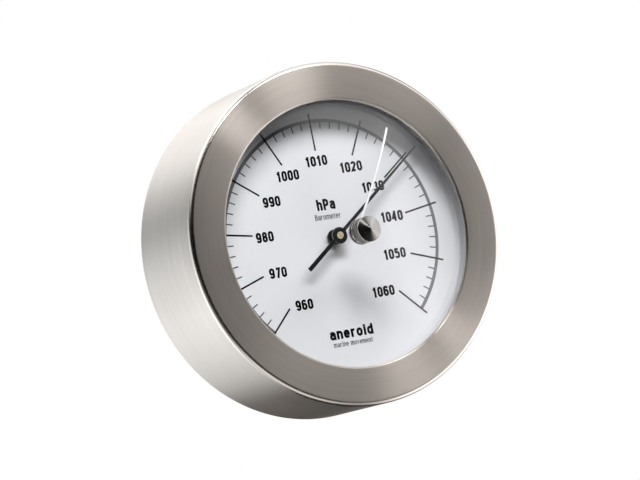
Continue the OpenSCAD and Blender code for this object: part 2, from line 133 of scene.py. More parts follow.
def new_piece(name, verts, faces, body, material, slot, sharp=35):
    """A smooth-shaded mesh piece riding on a body, if one is given. Edges over the sharp angle stay crisp."""
    mesh = bpy.data.meshes.new(name)
    mesh.from_pydata(verts, [], faces)
    bm = bmesh.new()
    bm.from_mesh(mesh)
    bmesh.ops.remove_doubles(bm, verts=bm.verts, dist=1e-7)
    bmesh.ops.recalc_face_normals(bm, faces=bm.faces)
    bm.to_mesh(mesh)
    bm.free()
    mesh.polygons.foreach_set("use_smooth", [True] * len(mesh.polygons))
    mesh.set_sharp_from_angle(angle=math.radians(sharp))
    mesh.materials.append(material)
    piece = bpy.data.objects.new(name, mesh)
    scene.collection.objects.link(piece)
    if body:
        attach(piece, body)
    return piece


def lathe_mesh(profile, segments=256, centre=(0, 0), wave=None):
    """Vertices and faces of a closed (radius, height) profile turned about the dial's axis or a centre.
    A wave is a function of angle, radius and height that is added to the radius."""
    verts, faces, n = [], [], len(profile)
    on_axis = [radius < 1e-6 for radius, _ in profile]
    for s in range(segments):
        a = TURN * s / segments
        for radius, height in profile:
            if wave:
                radius += wave(a, radius, height)
            verts.append(to_row(centre[0] + radius * math.sin(a), centre[1] + radius * math.cos(a), height))
    for s in range(segments):
        after = (s + 1) % segments
        for i in range(n):
            j = (i + 1) % n
            if on_axis[i] and on_axis[j]:
                continue
            quad = [s * n + i, s * n + j, after * n + j, after * n + i]
            if on_axis[i]:
                quad.remove(after * n + i)
            if on_axis[j]:
                quad.remove(after * n + j)
            faces.append(quad)
    return verts, faces


def prism_mesh(outline, low, high):
    """Vertices and faces of a simple outline raised between two heights."""
    n = len(outline)
    verts = [to_row(x, y, low) for x, y in outline] + [to_row(x, y, high) for x, y in outline]
    faces = [list(range(n)), list(range(n, 2 * n))]
    faces += [[i, (i + 1) % n, n + (i + 1) % n, n + i] for i in range(n)]
    return verts, faces


def ribbon_mesh(line, width, low, high, closed=False):
    """A stroke of even width along a line of points, raised between two heights."""
    least_mitre = 0.45
    n, left, right = len(line), [], []
    for i, p in enumerate(line):
        before = line[i - 1] if i or closed else p
        after = line[(i + 1) % n] if i < n - 1 or closed else p
        d1 = Vector((p[0] - before[0], p[1] - before[1]))
        d2 = Vector((after[0] - p[0], after[1] - p[1]))
        d1 = d1.normalized() if d1.length > 1e-9 else d2.normalized()
        d2 = d2.normalized() if d2.length > 1e-9 else d1
        n1, n2 = Vector((-d1.y, d1.x)), Vector((-d2.y, d2.x))
        mitre = (n1 + n2).normalized() if (n1 + n2).length > 1e-6 else n1
        reach = width / 2 / max(mitre.dot(n1), least_mitre)
        left.append((p[0] + mitre.x * reach, p[1] + mitre.y * reach))
        right.append((p[0] - mitre.x * reach, p[1] - mitre.y * reach))
    verts = [to_row(x, y, h) for h in (low, high) for x, y in left + right]
    faces = []
    for i in range(n if closed else n - 1):
        j = (i + 1) % n
        faces += [[i, j, n + j, n + i], [2 * n + i, 2 * n + j, 3 * n + j, 3 * n + i]]
        faces += [[i, j, 2 * n + j, 2 * n + i], [n + i, n + j, 3 * n + j, 3 * n + i]]
    if not closed:
        faces += [[0, n, 3 * n, 2 * n], [n - 1, 2 * n - 1, 4 * n - 1, 3 * n - 1]]
    return verts, faces


def gather(parts):
    """Several (vertices, faces) as one."""
    verts, faces = [], []
    for part_verts, part_faces in parts:
        base = len(verts)
        verts += part_verts
        faces += [[base + i for i in face] for face in part_faces]
    return verts, faces


def plate_piece(name, outlines, low, high, bevel, body, material, slot):
    """A flat plate with holes and rounded edges. The first outline is the rim and the others are holes."""
    curve = bpy.data.curves.new(name, "CURVE")
    curve.dimensions = "2D"
    curve.fill_mode = "BOTH"
    curve.extrude = ((high - low) / 2 - bevel) * MM
    curve.bevel_depth = bevel * MM
    curve.bevel_resolution = 2
    curve.offset = -bevel * MM
    for outline in outlines:
        spline = curve.splines.new("POLY")
        spline.points.add(len(outline) - 1)
        for point, (x, y) in zip(spline.points, outline):
            point.co = (x * MM, y * MM, 0, 1)
        spline.use_cyclic_u = True
    holder = bpy.data.objects.new(name + "_curve", curve)
    scene.collection.objects.link(holder)
    bpy.context.view_layer.update()
    flat = bpy.data.meshes.new_from_object(holder.evaluated_get(bpy.context.evaluated_depsgraph_get()))
    bpy.data.objects.remove(holder)
    middle = (low + high) / 2
    verts = [to_row(v.co.x / MM, v.co.y / MM, middle + v.co.z / MM) for v in flat.vertices]
    faces = [list(p.vertices) for p in flat.polygons]
    bpy.data.meshes.remove(flat)
    return new_piece(name, verts, faces, body, material, slot)


# ---------- material helpers ----------

class Shader:
    """The nodes of a new material, or of the world that is given, built by short calls."""

    def __init__(self, owner, output="ShaderNodeOutputMaterial"):
        self.owner = bpy.data.materials.new(owner) if isinstance(owner, str) else owner
        self.owner.use_nodes = True
        self.tree = self.owner.node_tree
        self.tree.nodes.clear()
        self.out = self.add(output)

    def add(self, kind, inputs=None, **settings):
        node = self.tree.nodes.new(kind)
        for key, value in settings.items():
            setattr(node, key, value)
        for key, value in (inputs or {}).items():
            socket = node.inputs[key]
            if isinstance(value, bpy.types.NodeSocket):
                self.tree.links.new(value, socket)
            else:
                socket.default_value = value
        return node

    def math(self, operation, a, b=0.0):
        return self.add("ShaderNodeMath", {0: a, 1: b}, operation=operation).outputs[0]

    def vector(self, operation, a, b=None, output="Vector"):
        inputs = {0: a} if b is None else {0: a, 1: b}
        return self.add("ShaderNodeVectorMath", inputs, operation=operation).outputs[output]

    def ramp(self, value, low, high, to_low=0.0, to_high=1.0):
        node = self.add("ShaderNodeMapRange", {0: value, 1: low, 2: high, 3: to_low, 4: to_high},
                        interpolation_type="SMOOTHSTEP")
        return node.outputs[0]

    def mix(self, share, a, b):
        return self.add("ShaderNodeMix", {0: share, 6: a, 7: b}, data_type="RGBA").outputs[2]

    def noise(self, vector, scale, detail=3.0, roughness=0.55):
        node = self.add("ShaderNodeTexNoise",
                        {"Vector": vector, "Scale": scale, "Detail": detail, "Roughness": roughness})
        return node.outputs[0]

    def position(self):
        return self.add("ShaderNodeTexCoord").outputs["Object"]

    def bump(self, height, distance, strength=1.0, normal=None):
        inputs = {"Height": height, "Distance": distance, "Strength": strength}
        if normal is not None:
            inputs["Normal"] = normal
        return self.add("ShaderNodeBump", inputs).outputs[0]

    def principled(self, **inputs):
        """The principled shader. A keyword's underscores stand for the spaces of the input's name."""
        named = {key.replace("_", " "): value for key, value in inputs.items()}
        return self.add("ShaderNodeBsdfPrincipled", named).outputs[0]

    def finish(self, surface):
        self.tree.links.new(surface, self.out.inputs["Surface"])
        return self.owner


def rgb(r, g, b):
    return (r, g, b, 1.0)


def darker(colour, share):
    """The colour with its brightness multiplied by a share."""
    return rgb(*(c * share for c in colour[:3]))


def about_axis(s):
    """The position's x, y and z, and its distance from the dial's axis."""
    x, y, z = [s.add("ShaderNodeSeparateXYZ", {0: s.position()}).outputs[i] for i in range(3)]
    return x, y, z, s.math("SQRT", s.math("ADD", s.math("MULTIPLY", x, x), s.math("MULTIPLY", z, z)))


def turned_scratches(s, along, across):
    """Coordinates that draw noise out into circles about the dial's axis, as brushing on a lathe does."""
    x, y, z, radius = about_axis(s)
    safe = s.math("MAXIMUM", radius, 0.0001)
    turn_x = s.math("MULTIPLY", s.math("DIVIDE", x, safe), along)
    turn_z = s.math("MULTIPLY", s.math("DIVIDE", z, safe), along)
    depth = s.math("MULTIPLY", s.math("ADD", radius, y), across)
    return s.add("ShaderNodeCombineXYZ", {0: turn_x, 1: depth, 2: turn_z}).outputs[0]


def drum_edge(s):
    """1 on the drum's rounded front edge, which is smoother than the brushed faces, and 0 elsewhere."""
    _, y, _, radius = about_axis(s)
    outward = s.math("SUBTRACT", radius, (CASE_R - EDGE_R) * MM)
    forward = s.math("SUBTRACT", s.math("MULTIPLY", y, -1.0), (FRONT - EDGE_R - RING_FALL) * MM)
    return s.ramp(s.math("MINIMUM", outward, forward), 0.0, 0.5 * MM)


def turned_metal(name, colour, roughness, anisotropic, scratch=0.25, across=5500.0, bump=0.000004, edge=0.0):
    """Metal brushed or turned about the dial's axis, its highlights drawn out across the scratches.
    Scratch is how much darker the scratches are, and edge how much smoother the drum's rounded edge is."""
    s = Shader(name)
    fine = s.noise(turned_scratches(s, 2.2, across), 1.0, 4.0, 0.6)
    coarse = s.noise(turned_scratches(s, 1.3, across / 9), 1.0, 2.0, 0.5)
    cloud = s.noise(s.position(), 60.0, 2.0)
    streak = s.math("ADD", s.math("MULTIPLY", fine, 0.6), s.math("MULTIPLY", coarse, 0.4))
    tint = s.mix(s.ramp(streak, 0.3, 0.7), darker(colour, 1 - scratch), colour)
    rough = s.math("ADD", s.ramp(streak, 0.3, 0.7, roughness * 1.07, roughness * 0.94),
                   s.math("MULTIPLY", s.math("SUBTRACT", cloud, 0.5), 0.05))
    if edge:
        kept = s.math("SUBTRACT", 1.0, s.math("MULTIPLY", drum_edge(s), edge))
        rough, anisotropic = s.math("MULTIPLY", rough, kept), s.math("MULTIPLY", anisotropic, kept)
    tangent = s.add("ShaderNodeTangent", direction_type="RADIAL", axis="Y").outputs[0]
    return s.finish(s.principled(Base_Color=tint, Metallic=1.0, Roughness=rough, Anisotropic=anisotropic,
                                 Anisotropic_Rotation=0.25, Tangent=tangent, Normal=s.bump(fine, bump)))


def plain_metal(name, colour, roughness, grain=900.0, edge=0.0):
    """Stamped, plated or cast metal with a faint grain and duller patches. Edge is the radius, in metres, by
    which the shading eases its edges."""
    s = Shader(name)
    place = s.position()
    grains = s.noise(place, grain, 4.0, 0.6)
    patches = s.noise(place, grain / 12, 3.0)
    tint = s.mix(s.ramp(patches, 0.35, 0.7), colour, darker(colour, 0.78))
    dull = s.ramp(patches, 0.3, 0.7, roughness - 0.08, roughness + 0.02)
    rough = s.math("ADD", s.math("MULTIPLY", grains, 0.12), dull)
    eased = s.add("ShaderNodeBevel", {"Radius": edge}, samples=4).outputs[0] if edge else None
    return s.finish(s.principled(Base_Color=tint, Metallic=1.0, Roughness=rough,
                                 Normal=s.bump(grains, 0.000004, 0.6, eased)))


def coated(name, colour, roughness, grain=1500.0, depth=0.000006, variation=0.06, specular=0.5):
    """Paint, lacquer or moulded plastic: even colour with slight clouding, and a fine skin texture."""
    s = Shader(name)
    place = s.position()
    skin = s.noise(place, grain, 3.0, 0.6)
    clouds = s.noise(place, 45.0, 2.0)
    tint = s.mix(s.ramp(clouds, 0.35, 0.65), darker(colour, 1 - variation), colour)
    rough = s.math("ADD", s.math("MULTIPLY", skin, 0.1), roughness - 0.05)
    return s.finish(s.principled(Base_Color=tint, Roughness=rough, Specular_IOR_Level=specular,
                                 Normal=s.bump(skin, depth)))


def clear_glass():
    """Thin clear glass: passes light straight through and adds a reflection that grows at grazing angles."""
    head_on, grazing = 0.034, 0.96
    s = Shader("clear_glass")
    geometry = s.add("ShaderNodeNewGeometry")
    facing = s.vector("DOT_PRODUCT", geometry.outputs["Incoming"], geometry.outputs["Normal"], "Value")
    graze = s.math("POWER", s.math("SUBTRACT", 1.0, s.math("ABSOLUTE", facing)), 5.0)
    share = s.math("ADD", s.math("MULTIPLY", graze, grazing), head_on)
    haze = s.ramp(s.noise(s.position(), 30.0), 0.4, 0.7, 0.01, 0.035)
    through = s.add("ShaderNodeBsdfTransparent", {"Color": rgb(0.985, 0.992, 0.99)}).outputs[0]
    shine = s.add("ShaderNodeBsdfGlossy", {"Color": rgb(1, 1, 1), "Roughness": haze}).outputs[0]
    return s.finish(s.add("ShaderNodeMixShader", {0: share, 1: through, 2: shine}).outputs[0])


def knurled_metal(name, colour, roughness, crest, depth):
    """Milled metal about the spindle, with painted shade: the valleys below the crests are tinted near black.
    """
    s = Shader(name)
    place = s.position()
    offset = s.vector("SUBTRACT", place, Vector((SPINDLE[0], 0, SPINDLE[1])) * MM)
    radius = s.vector("LENGTH", s.vector("MULTIPLY", offset, (1, 0, 1)), output="Value")
    blotches = s.ramp(s.noise(place, 900.0, 1.0), 0.35, 0.6, 0.45, 1.0)
    # Painted shade: 0 deep in the valleys, where the tint is near black, and 1 on the crests
    rise = s.ramp(radius, (crest - depth * 0.8) * MM, (crest - depth * 0.1) * MM)
    tint = s.mix(s.math("MULTIPLY", rise, blotches), darker(colour, 0.04), colour)
    rough = s.math("ADD", s.math("MULTIPLY", s.noise(place, 2500.0), 0.12), roughness)
    return s.finish(s.principled(Base_Color=tint, Metallic=1.0, Roughness=rough))


KNURL_DEPTH = 0.34

steel = turned_metal("brushed_steel", rgb(0.675, 0.61, 0.557), 0.34, 1.0, 0.11, 8000.0, edge=0.3)
knob_metal = turned_metal("turned_nickel", rgb(0.50, 0.47, 0.45), 0.24, 0.6, 0.12, 9000.0, 0.000002)
face_metal = turned_metal("faced_nickel", rgb(0.48, 0.46, 0.44), 0.2, 0.5, 0.12, 9000.0, 0.000002)
# Near-black metal for the knob's groove: painted shade where the deep groove lies in shadow
painted_groove_shade = plain_metal("groove_oxide", rgb(0.04, 0.038, 0.036), 0.4, 2500.0)
knurl_metal = knurled_metal("milled_nickel", rgb(0.95, 0.93, 0.90), 0.12, KNOB_R, KNURL_DEPTH)
bush_brass = plain_metal("lapped_brass", rgb(0.82, 0.67, 0.45), 0.24, 2600.0)
brass_turned = plain_metal("turned_brass", rgb(0.78, 0.56, 0.27), 0.28, 2600.0)
brass_plate = plain_metal("brass_sheet", rgb(0.72, 0.54, 0.26), 0.36, 800.0, 0.00015)
screw_steel = plain_metal("screw_steel", rgb(0.62, 0.61, 0.60), 0.28, 2200.0, 0.0001)
spring_steel = plain_metal("spring_steel", rgb(0.34, 0.36, 0.41), 0.3, 1800.0, 0.0001)
capsule_metal = plain_metal("nickel_silver", rgb(0.70, 0.64, 0.52), 0.26, 1200.0, 0.0001)
glass_clear = clear_glass()
rubber = coated("black_rubber", rgb(0.02, 0.02, 0.02), 0.7)
spacer_plastic = coated("pale_plastic", rgb(0.66, 0.665, 0.675), 0.5, 1800.0)
dial_paint = coated("dial_enamel", rgb(0.88, 0.865, 0.905), 0.42, 2600.0, 0.000001, 0.015, 0.35)
black_plastic = coated("black_moulding", rgb(0.022, 0.022, 0.024), 0.5, 1400.0, 0.00002, 0.2)
lacquer = coated("black_lacquer", rgb(0.008, 0.008, 0.009), 0.42, 3000.0, 0.000002, specular=0.2)
boss_black = coated("black_anodised", rgb(0.006, 0.006, 0.006), 0.34, 3500.0, 0.000003, specular=0.2)
fibre = coated("red_fibre", rgb(0.30, 0.13, 0.07), 0.7, 1500.0, 0.00001, 0.3)
hand_white = coated("white_lacquer", rgb(0.95, 0.92, 0.95), 0.4, 3000.0, 0.000001, 0.02)
ink = coated("black_ink", rgb(0.008, 0.008, 0.009), 0.6, 5000.0, 0.000001, 0.3, specular=0.1)
ink_dark = coated("thin_ink", rgb(0.04, 0.04, 0.045), 0.6, 5000.0, 0.000001, 0.2)
ink_grey = coated("grey_ink", rgb(0.18, 0.17, 0.19), 0.6, 5000.0, 0.000001, 0.2)


# ---------- case ----------

def case_drum():
    """One-piece drum: side, rounded front edge, front ring that falls slightly outwards, rolled bead."""
    bead_at = WINDOW_R + BEAD_R
    inner = CASE_R - CASE_WALL
    edge_at = (CASE_R - EDGE_R, FRONT - EDGE_R - RING_FALL)
    groove_top, groove_bottom, groove = 1.75, 0.55, 0.6  # for the snap ring
    outer_chamfer, inner_chamfer = 0.25, 0.2
    profile = [(CASE_R, outer_chamfer)]
    profile += arc(*edge_at, EDGE_R, 0, 88.5, 12)
    profile += arc(bead_at, FRONT - BEAD_R, BEAD_R, 88.5, 270, 16)
    profile += arc(*edge_at, EDGE_R - CASE_WALL, 88, 0, 6)
    profile += [(inner, groove_top), (inner + groove, groove_top), (inner + groove, groove_bottom)]
    profile += [(inner, groove_bottom), (inner, inner_chamfer), (inner + inner_chamfer, 0)]
    profile += [(CASE_R - outer_chamfer, 0)]
    piece = new_piece("case_drum", *lathe_mesh(profile, 384), "case", steel, "case_steel", 50)
    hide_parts("case_shell")


def glass_dome():
    """Domed glass, bored for the spindle. The rings near the hole are drawn over to the spindle's axis."""
    centre = GLASS_TOP - GLASS_CURVE_R
    inner_r = GLASS_CURVE_R - GLASS_T

    def height(radius, at):
        return centre + math.sqrt(radius * radius - at * at)

    hole, steps, segments, fade = 2.2, 28, 192, 8
    radii = [hole + (GLASS_R - hole) * i / steps for i in range(steps + 1)]
    path = [(at, inner_r) for at in radii] + [(at, GLASS_CURVE_R) for at in reversed(radii)]
    _, faces = lathe_mesh(path, segments)
    verts = []
    for s in range(segments):
        for at, sphere in path:
            x, y = clock(at, 360 * s / segments)
            drawn = max(0, 1 - (at - hole) / fade)
            x, y = x + SPINDLE[0] * drawn, y + SPINDLE[1] * drawn
            verts.append(to_row(x, y, height(sphere, math.hypot(x, y))))
    piece = new_piece("glass_dome", verts, faces, "case", glass_clear, "glass", 50)
    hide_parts("glass")


def spacer():
    """Pale moulded ring between the dial and the glass, with eased edges."""
    seat = GLASS_TOP - GLASS_CURVE_R + math.sqrt((GLASS_CURVE_R - GLASS_T) ** 2 - GLASS_R ** 2) - GAP
    foot, top, clear = DIAL + GAP, FRONT - CASE_WALL - RING_FALL - 0.1, GLASS_R + 0.3
    corners = [(SPACER_IN_R, foot), (LINER_R, foot), (LINER_R, top - 0.6), (LINER_R - 0.4, top), (clear, top)]
    corners += [(clear, seat), (SPACER_IN_R + 0.35, seat)]
    piece = new_piece("spacer_liner", *lathe_mesh(rounded(corners, 0.2), 256), "case", spacer_plastic,
                      "white_plastic")
    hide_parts("spacer_ring")


def gasket():
    """Rubber ring between the glass and the front ring, hollowed to lie on the dome."""
    centre = GLASS_TOP - GLASS_CURVE_R
    inner, top = WINDOW_R + 2 * BEAD_R + 0.3, FRONT - CASE_WALL - GAP
    steps = 8
    radii = [inner + (GLASS_R - inner) * i / steps for i in range(steps + 1)]
    profile = [(at, centre + math.sqrt((GLASS_CURVE_R + GAP) ** 2 - at * at)) for at in radii]
    profile += [(GLASS_R, top - RING_FALL), (inner, top - 0.1)]
    piece = new_piece("glass_seal", *lathe_mesh(profile, 192), "case", rubber, "gasket_rubber")
    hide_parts("glass_gasket")


def dial():
    """Enamelled dial with a turned-down rim and a bored centre."""
    hole = 1.6
    corners = [(hole, DIAL_BACK), (LINER_R, DIAL_BACK), (LINER_R, DIAL), (hole, DIAL)]
    piece = new_piece("dial_face", *lathe_mesh(rounded(corners, 0.25), 256), "case", dial_paint, "dial_white")
    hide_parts("dial_plate")


# ---------- dial print ----------

PRINT_LOW, PRINT_HIGH = DIAL - 0.01, DIAL + 0.03
ARC_IN, ARC_OUT = 42.5, 43.75
MINOR_IN, MINOR_OUT, MINOR_WIDTH = 40.1, ARC_IN + 0.1, 0.42
MAJOR_IN, MAJOR_OUT, MAJOR_WIDTH = 32.15, 45.9, 0.64
SCALE_LOW, SCALE_HIGH, SWEEP = 960, 1060, 270
# The middle of each number, x to the right and y up from the pointer's axis
NUMBER_PLACES = {
    960: (-16.65, -22.2), 970: (-24.6, -9.35), 980: (-27.05, 3.95), 990: (-21.6, 16.15),
    1000: (-13.15, 24.65), 1010: (-0.5, 28.45), 1020: (13.15, 24.65), 1030: (20.5, 16.3),
    1040: (25.85, 4.5), 1050: (23.95, -9.15), 1060: (16.25, -22.05),
}


def reading_angle(value):
    """Degrees clockwise from the top for a reading in hPa."""
    return (value - (SCALE_LOW + SCALE_HIGH) / 2) * SWEEP / (SCALE_HIGH - SCALE_LOW)


def letter_strokes(k, e):
    """Stroke font in units of half a letter's width across and its height up. k is the height of a full
    bow's radius and e half the stroke. Each letter is its half width and its strokes; a loop is closed."""
    xh = 0.72  # height of the small letters

    def bow(cx, cy, start, end, rx=1.0):
        return [(x * rx + cx, y * k * rx + cy) for x, y in arc(0, 0, 1, start, end, 10)]

    def loop(low, high, cx=0.0, rx=1.0):
        return ("loop", bow(cx, high - k * rx, 0, 180, rx) + bow(cx, low + k * rx, 180, 360, rx))

    def stem(x, top, low=0.0):
        return [(x, low - e), (x, top + e)]

    arch = bow(0, xh - k, 180, 0) + [(1, -e)]
    return {
        "0": (1, [loop(0, 1)]),
        "1": (0.8, [stem(0.3, 1), [(-0.75, 0.77), (0.3, 0.97)]]),
        "2": (1, [bow(0, 1 - k, 172, -32) + [(-0.92, 0), (1.02, 0)]]),
        "3": (1, [bow(0, 1 - k, 168, 0) + bow(0, 0.53 + k, 0, -90),
                  bow(0, 0.53 - k, 90, 0) + bow(0, k, 0, -168)]),
        "4": (1, [stem(0.42, 1), [(0.36, 1), (-1, 0.25), (1.12, 0.25)]]),
        "5": (1, [[(0.88, 1), (-0.82, 1), (-0.88, 0.52)], bow(0, 0.64 - k, 155, 0) + bow(0, k, 0, -168)]),
        "6": (1, [loop(0, 0.6), bow(0, 1 - k, 12, 180) + [(-1, k)]]),
        "7": (1, [[(-1, 1), (0.95, 1), (-0.3, -e)]]),
        "8": (1, [loop(0.52, 1, 0, 0.92), loop(0, 0.52)]),
        "9": (1, [loop(0.4, 1), bow(0, k, 192, 360) + [(1, 1 - k)]]),
        "h": (1, [stem(-1, 1), arch]),
        "P": (1, [stem(-1, 1), [(-1, 1)] + bow(0, 1 - k, 90, 0) + bow(0, 0.42 + k, 0, -90) + [(-1, 0.42)]]),
        "B": (1, [stem(-1, 1), [(-1, 1)] + bow(0, 1 - k, 90, -90) + [(-1, 0.54)],
                  bow(0.05, 0.54 - k, 90, 0) + bow(0.05, k, 0, -90) + [(-1, 0)]]),
        "a": (1, [bow(0, xh - k, 165, 0) + [(1, -e)],
                  [(1, 0.42)] + bow(-0.1, 0.21, 90, 270, 0.9) + [(1, 0.08)]]),
        "r": (0.7, [stem(-0.6, xh), bow(0.3, xh - 0.9 * k, 180, 55, 0.9)]),
        "o": (1, [loop(0, xh)]),
        "m": (1.7, [stem(-1.7, xh), bow(-0.85, xh - 0.85 * k, 180, 0, 0.85) + [(0, -e)],
                    bow(0.85, xh - 0.85 * k, 180, 0, 0.85) + [(1.7, -e)]]),
        "e": (1, [[(-1, 0.37), (1, 0.37)] + bow(0, xh - k, 0, 180) + bow(0, k, 180, 335)]),
        "t": (0.6, [[(-0.15, 0.95)] + bow(0.5, 0.65 * k, 180, 285, 0.65), [(-0.7, xh), (0.6, xh)]]),
        "n": (1, [stem(-1, xh), arch]),
        "i": (0.1, [stem(0, xh), [(0, 0.9), (0, 1 + e)]]),
        "v": (1, [[(-1, xh + e), (0, 0), (1, xh + e)]]),
        " ": (0.4, []),
        "d": (1, [loop(0, xh), stem(1, 1)]),
    }


def word_mesh(word, x, y, height, half_width, stroke, gap):
    """A centred word of raised strokes. Height is the height of a capital."""
    rise = height - stroke
    font = letter_strokes(half_width / rise, stroke / 2 / rise)
    widths = [2 * font[c][0] * half_width + stroke for c in word]
    left = x - (sum(widths) + gap * (len(word) - 1)) / 2
    parts = []
    for c, width in zip(word, widths):
        middle = left + width / 2
        for line in font[c][1]:
            closed = line[0] == "loop"
            points = [(middle + px * half_width, y - rise / 2 + py * rise)
                      for px, py in (line[1] if closed else line)]
            if closed:  # a loop as high as it is wide has no straight sides
                points = [p for i, p in enumerate(points) if i == 0 or math.dist(p, points[i - 1]) > 0.01]
            parts.append(ribbon_mesh(points, stroke, PRINT_LOW, PRINT_HIGH, closed))
        left += width + gap
    return gather(parts)


def radial_bar(angle, inner, outer, width):
    """A raised tick between two radii."""
    a = math.radians(angle)
    along, side = Vector((math.sin(a), math.cos(a))), Vector((math.cos(a), -math.sin(a))) * width / 2
    ends = [along * inner - side, along * outer - side, along * outer + side, along * inner + side]
    return prism_mesh([tuple(p) for p in ends], PRINT_LOW, PRINT_HIGH)


def dial_print():
    """Scale arc, ticks every 2 hPa, numbers every 10 hPa, unit, name, and two generic lines at the foot."""
    steps, minor_step, major_step = 180, 2, 10
    outer = [clock(ARC_OUT, -SWEEP / 2 + SWEEP * i / steps) for i in range(steps + 1)]
    inner = [clock(ARC_IN, SWEEP / 2 - SWEEP * i / steps) for i in range(steps + 1)]
    pieces = {"scale_arc": (prism_mesh(outer + inner, PRINT_LOW, PRINT_HIGH - 0.01), ink_grey)}
    minor = [radial_bar(reading_angle(v), MINOR_IN, MINOR_OUT, MINOR_WIDTH)
             for v in range(SCALE_LOW, SCALE_HIGH, minor_step) if v % major_step]
    major = [radial_bar(reading_angle(v), MAJOR_IN, MAJOR_OUT, MAJOR_WIDTH)
             for v in range(SCALE_LOW, SCALE_HIGH + 1, major_step)]
    pieces["minor_ticks"] = (gather(minor), ink_dark)
    pieces["major_ticks"] = (gather(major), ink)
    # Each word's place, height, half width of a letter, stroke and gap
    numbers = [word_mesh(str(value), *place, 3.8, 0.65, 0.86, 0.3) for value, place in NUMBER_PLACES.items()]
    pieces["scale_numbers"] = (gather(numbers), ink)
    pieces["unit_word"] = (word_mesh("hPa", -0.1, 12.4, 4.1, 0.68, 0.9, 0.4), ink)
    pieces["dial_word"] = (word_mesh("Barometer", -0.2, 7.95, 2.1, 0.38, 0.27, 0.2), ink)
    pieces["foot_word"] = (word_mesh("aneroid", 0, -34.6, 3.9, 0.76, 0.95, 0.42), ink)
    pieces["foot_line"] = (word_mesh("marine movement", 0, -38.4, 1.9, 0.32, 0.26, 0.2), ink_dark)
    for name, (mesh, material) in pieces.items():
        new_piece(name, *mesh, "case", material, "dial_white")


# ---------- knob ----------

def knob():
    """Plain flange, groove, milled grip with a diamond pattern, and a pointed face turned on a lathe."""
    groove, grip, rim = KNOB_BACK + 0.9, KNOB_BACK + 1.8, KNOB_TIP - 1.2
    bore, waist, flange_r, lap = 1.02, KNOB_R - 1.0, KNOB_R - 0.05, 0.05
    flange = rounded([(bore, KNOB_BACK), (flange_r, KNOB_BACK), (flange_r, groove), (bore, groove)], 0.12)
    new_piece("knob_flange", *lathe_mesh(flange, 96, SPINDLE), "set_hand", knob_metal, "knob_nickel")
    neck = [(bore, groove - lap), (waist, groove - lap), (waist, grip + lap), (bore, grip + lap)]
    # The neck's near-black metal is painted shade in the groove
    new_piece("knob_neck", *lathe_mesh(neck, 96, SPINDLE), "set_hand", painted_groove_shade, "knob_nickel")
    teeth, rows, plain, fade = 22, 4, 0.3, 0.15

    def knurl(angle, radius, height):
        """How much the crossed grooves lower the grip's skin, fading out at its plain ends."""
        if radius < KNOB_R - 0.01:
            return 0.0
        edge = min(height - grip - plain, rim - plain - height)
        if edge < 0:
            return -0.05
        across = angle / TURN * teeth
        along = (height - grip) / (rim - grip) * rows
        p, q = abs((across + along) % 1 - 0.5) * 2, abs((across - along) % 1 - 0.5) * 2
        return -KNURL_DEPTH * (1 - min(p, q)) * min(1, edge / fade)

    steps = 56
    sleeve = [(bore, grip), (KNOB_R - 0.2, grip), (KNOB_R, grip + 0.15)]
    sleeve += [(KNOB_R, grip + 0.2 + (rim - grip - 0.4) * i / steps) for i in range(steps + 1)]
    sleeve += [(KNOB_R - 0.15, rim - 0.05), (KNOB_R - 0.3, rim - 0.03), (bore, rim - 0.03)]
    grip_mesh = lathe_mesh(sleeve, teeth * 10, SPINDLE, knurl)
    new_piece("knob_grip", *grip_mesh, "set_hand", knurl_metal, "knob_nickel", 60)
    face = [(0, rim - 0.4), (KNOB_R - 0.25, rim - 0.4), (KNOB_R - 0.12, rim)]
    face += [(0.25, KNOB_TIP - 0.07), (0, KNOB_TIP)]
    piece = new_piece("knob_face", *lathe_mesh(face, 128, SPINDLE), "set_hand", face_metal, "knob_nickel", 20)
    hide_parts("knob")


def boss_rim():
    """Bright turned edge of the pointer's boss."""
    low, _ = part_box("pointer_boss")
    front = -low.y / MM - 0.28
    back_edge, chamfer, inner, outer = front - 0.39, 0.07, 2.9, 3.03
    profile = [(inner, back_edge), (outer, back_edge), (outer, front - chamfer), (outer - chamfer, front)]
    profile.append((inner, front))
    new_piece("boss_rim", *lathe_mesh(profile, 96), "pointer", knob_metal, "boss_black")


# ---------- back ----------

def circle(x, y, radius, steps=64):
    """Outline of a round hole or rim."""
    return [(x + px, y + py) for px, py in arc(0, 0, radius, 0, 360 - 360 / steps, steps - 1)]


def keyhole(grow=0.0):
    """Outline of the hanging hole: a round entry with a slot above it."""
    entry, slot, entry_at, slot_at = 4.5 + grow, 2.3 + grow, 45, 52
    turn = math.degrees(math.asin(slot / entry))
    return arc(0, entry_at, entry, 90 + turn, 450 - turn, 40) + arc(0, slot_at, slot, 0, 180, 16)


def arrow(angle, reach, radius, width):
    """Raised curved arrow about the adjusting hole, its head at an angle counted clockwise from the top."""
    x0, y0 = ADJUSTER
    low, high, steps, head_reach, head_half = 0.15, 0.5, 12, 24, 1.3
    line = [clock(radius, angle - reach + reach * i / steps) for i in range(steps + 1)]
    body = ribbon_mesh([(x0 + x, y0 + y) for x, y in line], width, low, high)
    head = [clock(radius, angle + math.copysign(head_reach, reach)), clock(radius + head_half, angle),
            clock(radius - head_half, angle)]
    return gather([body, prism_mesh([(x0 + x, y0 + y) for x, y in head], low, high)])


